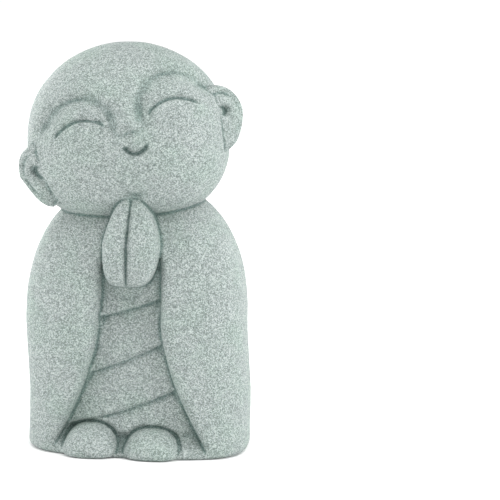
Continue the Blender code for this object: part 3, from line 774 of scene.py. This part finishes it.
def sandstone_material(stone):
    """Sandstone composite: sand of mixed greys bound with pigmented resin and cast in a mould.

    The eye sees a pale green-grey speckle of quartz and dark grains, matt all over. Creases and recesses
    get painted shade: a darker, greener colour multiplied in where they lie under the smoothed surface. The
    grain's width is fitted to that speckle, and isn't a known size of sand.
    """
    material = bpy.data.materials.new("sandstone_composite")
    material.use_nodes = True
    tree = material.node_tree
    tree.nodes.clear()
    place = node(tree, "ShaderNodeTexCoord", {}, {}).outputs["Object"]

    grains = node(
        tree,
        "ShaderNodeTexVoronoi",
        {"feature": "F1", "distance": "EUCLIDEAN"},
        {"Vector": place, "Scale": 1 / stone.grain, "Randomness": 1.0},
    )
    draw = node(tree, "ShaderNodeSeparateColor", {}, {"Color": grains.outputs["Color"]})
    grain_colour = node(tree, "ShaderNodeValToRGB", {}, {"Fac": draw.outputs["Red"]})
    body = tuple(stone.body)
    light, dark = tuple(stone.light_grain), tuple(stone.dark_grain)
    ramp_stops(grain_colour, [(0.0, dark), (0.5, body), (1.0, light)])

    fines = node(tree, "ShaderNodeTexNoise", {}, {"Vector": place, "Scale": 1 / FINES_SCALE, "Detail": 2.0})
    fines_tone = remapped(tree, fines.outputs["Fac"], FINES_RANGE, FINES_TONES)
    speckled = multiplied(tree, 1.0, grain_colour.outputs["Color"], fines_tone)

    drift = node(tree, "ShaderNodeTexNoise", {}, {"Vector": place, "Scale": 1 / DRIFT_SCALE, "Detail": 3.0})
    drift_share = remapped(tree, drift.outputs["Fac"], DRIFT_RANGE, (0.0, DRIFT_MOST))
    green_tint = tuple(share / max(stone.green) for share in stone.green)
    drifted = multiplied(tree, drift_share, speckled, (*green_tint, 1.0))

    # Painted shade: the hollows colour is multiplied into points that lie under the smoothed surface,
    # darkening creases and recesses where shade falls
    marked = {"attribute_name": "hollow", "attribute_type": "GEOMETRY"}
    hollow = node(tree, "ShaderNodeAttribute", marked, {})
    painted_shade_share = remapped(tree, hollow.outputs["Fac"], (PAINTED_SHADE_FROM, 1.0), (0.0, 1.0))
    with_painted_shade = multiplied(tree, painted_shade_share, drifted, (*stone.hollow, 1.0))

    height = node(
        tree,
        "ShaderNodeMath",
        {"operation": "MULTIPLY_ADD"},
        {0: draw.outputs["Green"], 1: GRAIN_IN_BUMP, 2: fines.outputs["Fac"]},
    )
    bump = node(
        tree,
        "ShaderNodeBump",
        {},
        {"Height": height.outputs["Value"], "Strength": BUMP_STRENGTH, "Distance": BUMP_DEPTH},
    )
    shader = node(
        tree,
        "ShaderNodeBsdfPrincipled",
        {},
        {
            "Base Color": with_painted_shade,
            "Roughness": stone.roughness,
            "IOR": 1.5,
            "Normal": bump.outputs["Normal"],
        },
    )
    node(tree, "ShaderNodeOutputMaterial", {}, {"Surface": shader.outputs["BSDF"]})
    return material


class JIZO_OT_carve_robe(bpy.types.Operator):
    """Carves the cloaked body with its sleeves, opening, folds and hem"""

    bl_idname = "jizo.carve_robe"
    bl_label = "Carve robe"

    def execute(self, context):
        add_form("jizo_figure_carved", ROBE_STEPS, robe_shape(context.scene.jizo_sizes))
        return {"FINISHED"}


class JIZO_OT_carve_feet(bpy.types.Operator):
    """Carves the two rounded feet under the hem"""

    bl_idname = "jizo.carve_feet"
    bl_label = "Carve feet"

    def execute(self, context):
        for side in ("right", "left"):
            add_form(f"foot_{side}", SMALL_STEPS, foot_shape(context.scene.jizo_sizes, side))
        return {"FINISHED"}


class JIZO_OT_carve_hands(bpy.types.Operator):
    """Carves the two palms pressed together under the chin"""

    bl_idname = "jizo.carve_hands"
    bl_label = "Carve hands"

    def execute(self, context):
        for side, sign in (("right", -1), ("left", 1)):
            add_form(f"hand_{side}", SMALL_STEPS, hand_shape(context.scene.jizo_sizes, side, sign))
        return {"FINISHED"}


class JIZO_OT_carve_head(bpy.types.Operator):
    """Carves the head with its brows, closed eyes, nose and smile"""

    bl_idname = "jizo.carve_head"
    bl_label = "Carve head"

    def execute(self, context):
        add_form("head", HEAD_STEPS, head_shape(context.scene.jizo_sizes))
        return {"FINISHED"}


class JIZO_OT_carve_ears(bpy.types.Operator):
    """Carves the two long cupped ears"""

    bl_idname = "jizo.carve_ears"
    bl_label = "Carve ears"

    def execute(self, context):
        for side, sign in (("right", -1), ("left", 1)):
            ear = add_form(f"ear_{side}", SMALL_STEPS, ear_shape(context.scene.jizo_sizes, side, sign))
            turn_faces_out(ear)
        return {"FINISHED"}


class JIZO_OT_cast_figure(bpy.types.Operator):
    """Joins the forms under one skin of stone, cut flat below, and gives it its grain"""

    bl_idname = "jizo.cast_figure"
    bl_label = "Cast figure"

    def execute(self, context):
        sizes = context.scene.jizo_sizes
        deselect_all()
        for name in ("head", "ear_right", "ear_left", "foot_right", "foot_left", "hand_right", "hand_left"):
            bpy.data.objects[name].select_set(True)
        figure = bpy.data.objects["jizo_figure_carved"]
        figure.select_set(True)
        context.view_layer.objects.active = figure
        bpy.ops.object.join()
        apply_modifier(figure, "cast_skin", "REMESH", mode="VOXEL", voxel_size=sizes.skin_step)
        apply_modifier(figure, "worn", "SMOOTH", factor=WORN_FACTOR, iterations=WORN_PASSES)

        wander = bpy.data.textures.new("hand_worked", "CLOUDS")
        wander.noise_scale = WANDER_SCALE
        wander.noise_depth = 2
        apply_modifier(
            figure,
            "hand_worked",
            "DISPLACE",
            texture=wander,
            texture_coords="LOCAL",
            strength=sizes.unevenness,
            mid_level=0.5,
        )
        triangles = 2 * len(figure.data.polygons)
        apply_modifier(figure, "fewer_faces", "DECIMATE", ratio=min(1.0, MOST_TRIANGLES / triangles))

        bpy.ops.object.mode_set(mode="EDIT")
        bpy.ops.mesh.select_all(action="SELECT")
        bpy.ops.mesh.bisect(
            plane_co=(0, 0, 0), plane_no=(0, 0, 1), use_fill=True, clear_inner=True, threshold=1e-6
        )
        bpy.ops.object.mode_set(mode="OBJECT")
        figure.data.shade_smooth()
        figure.data.set_sharp_from_angle(angle=SHARP_FROM)
        # Marks the creases and recesses that the material darkens with painted shade
        mark_hollows(figure)

        figure.data.materials.clear()
        figure.data.materials.append(sandstone_material(context.scene.jizo_stone))
        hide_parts("jizo_figure")
        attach(figure, "root")
        return {"FINISHED"}


class JIZO_OT_set_stage(bpy.types.Operator):
    """Lays a white floor, hangs soft studio lights and places the camera"""

    bl_idname = "jizo.set_stage"
    bl_label = "Set stage"

    def execute(self, context):
        stage = context.scene.jizo_stage
        deselect_all()
        bpy.ops.mesh.primitive_circle_add(
            vertices=128, radius=FLOOR_RADIUS, fill_type="NGON", location=(0, 0, 0)
        )
        floor = context.active_object
        floor.name = "studio_floor"
        paper = bpy.data.materials.new("white_paper")
        paper.use_nodes = True
        shader = paper.node_tree.nodes["Principled BSDF"]
        shader.inputs["Base Color"].default_value = (*stage.floor, 1.0)
        shader.inputs["Roughness"].default_value = PAPER_ROUGHNESS
        shader.inputs["Specular IOR Level"].default_value = 0.0
        floor.data.materials.append(paper)

        middle = Vector((0, 0, MIDDLE_HEIGHT))
        for name, place, size, power in SOFTBOXES:
            aim = (middle - Vector(place)).to_track_quat("-Z", "Y").to_euler()
            bpy.ops.object.light_add(type="AREA", location=place, rotation=aim)
            lamp = context.active_object
            lamp.name = name
            lamp.data.shape = "SQUARE"
            lamp.data.size = size
            lamp.data.energy = power

        down = (-Vector(SKY_LIGHT_FROM)).to_track_quat("-Z", "Y").to_euler()
        bpy.ops.object.light_add(type="SUN", location=(0, 0, 1), rotation=down)
        sky = context.active_object
        sky.name = "ceiling_light"
        sky.data.angle = SKY_LIGHT_SPREAD
        sky.data.energy = SKY_LIGHT_STRENGTH

        world = bpy.data.worlds.new("white_studio")
        world.use_nodes = True
        background = world.node_tree.nodes["Background"]
        background.inputs["Color"].default_value = (1.0, 1.0, 1.0, 1.0)
        background.inputs["Strength"].default_value = stage.ambient
        context.scene.world = world
        context.scene.view_settings.view_transform = "Standard"

        place_camera(context, stage, middle)
        return {"FINISHED"}


def place_camera(context, stage, middle):
    """Looks past the figure's left side, so that it stands left of the middle of the picture."""
    turn, lift = stage.azimuth, stage.elevation
    sight = -Vector((math.sin(turn) * math.cos(lift), -math.cos(turn) * math.cos(lift), math.sin(lift)))
    level = Vector((math.cos(turn), math.sin(turn), 0))
    upright = level.cross(sight)
    right = level * math.cos(stage.roll) - upright * math.sin(stage.roll)
    up = level * math.sin(stage.roll) + upright * math.cos(stage.roll)
    place = middle - sight * stage.distance
    aim = middle + right * AIM_RIGHT * MM - up * AIM_DOWN * MM
    ahead = (aim - place).normalized()
    across = ahead.cross(up).normalized()
    above = across.cross(ahead)
    turned = Matrix((across, above, -ahead)).transposed()
    bpy.ops.object.camera_add(location=place, rotation=turned.to_euler())
    camera = context.active_object
    camera.name = "camera"
    camera.data.sensor_width = SENSOR_WIDTH
    camera.data.lens = stage.lens
    camera.data.clip_start = 0.01
    context.scene.camera = camera


class JIZO_PT_panel(bpy.types.Panel):
    """The figure's sizes, colours and steps, in the sidebar"""

    bl_idname = "JIZO_PT_panel"
    bl_label = "Praying jizo figure"
    bl_space_type = "VIEW_3D"
    bl_region_type = "UI"
    bl_category = "Jizo"

    def draw(self, context):
        scene = context.scene
        for group in (scene.jizo_sizes, scene.jizo_stone, scene.jizo_stage):
            box = self.layout.box()
            for name in group.__annotations__:
                box.prop(group, name)
        for operator in OPERATORS:
            self.layout.operator(operator.bl_idname)


OPERATORS = (
    JIZO_OT_carve_robe,
    JIZO_OT_carve_feet,
    JIZO_OT_carve_hands,
    JIZO_OT_carve_head,
    JIZO_OT_carve_ears,
    JIZO_OT_cast_figure,
    JIZO_OT_set_stage,
)
GROUPS = {"jizo_sizes": JizoSizes, "jizo_stone": JizoStone, "jizo_stage": JizoStage}


def register():
    for cls in (*GROUPS.values(), *OPERATORS, JIZO_PT_panel):
        bpy.utils.register_class(cls)
    for name, group in GROUPS.items():
        setattr(bpy.types.Scene, name, bpy.props.PointerProperty(type=group))


def unregister():
    for name in GROUPS:
        delattr(bpy.types.Scene, name)
    for cls in reversed((*GROUPS.values(), *OPERATORS, JIZO_PT_panel)):
        bpy.utils.unregister_class(cls)


def main():
    register()
    bpy.ops.jizo.carve_robe()
    bpy.ops.jizo.carve_feet()
    bpy.ops.jizo.carve_hands()
    bpy.ops.jizo.carve_head()
    bpy.ops.jizo.carve_ears()
    bpy.ops.jizo.cast_figure()
    bpy.ops.jizo.set_stage()


if __name__ == "__main__":
    main()
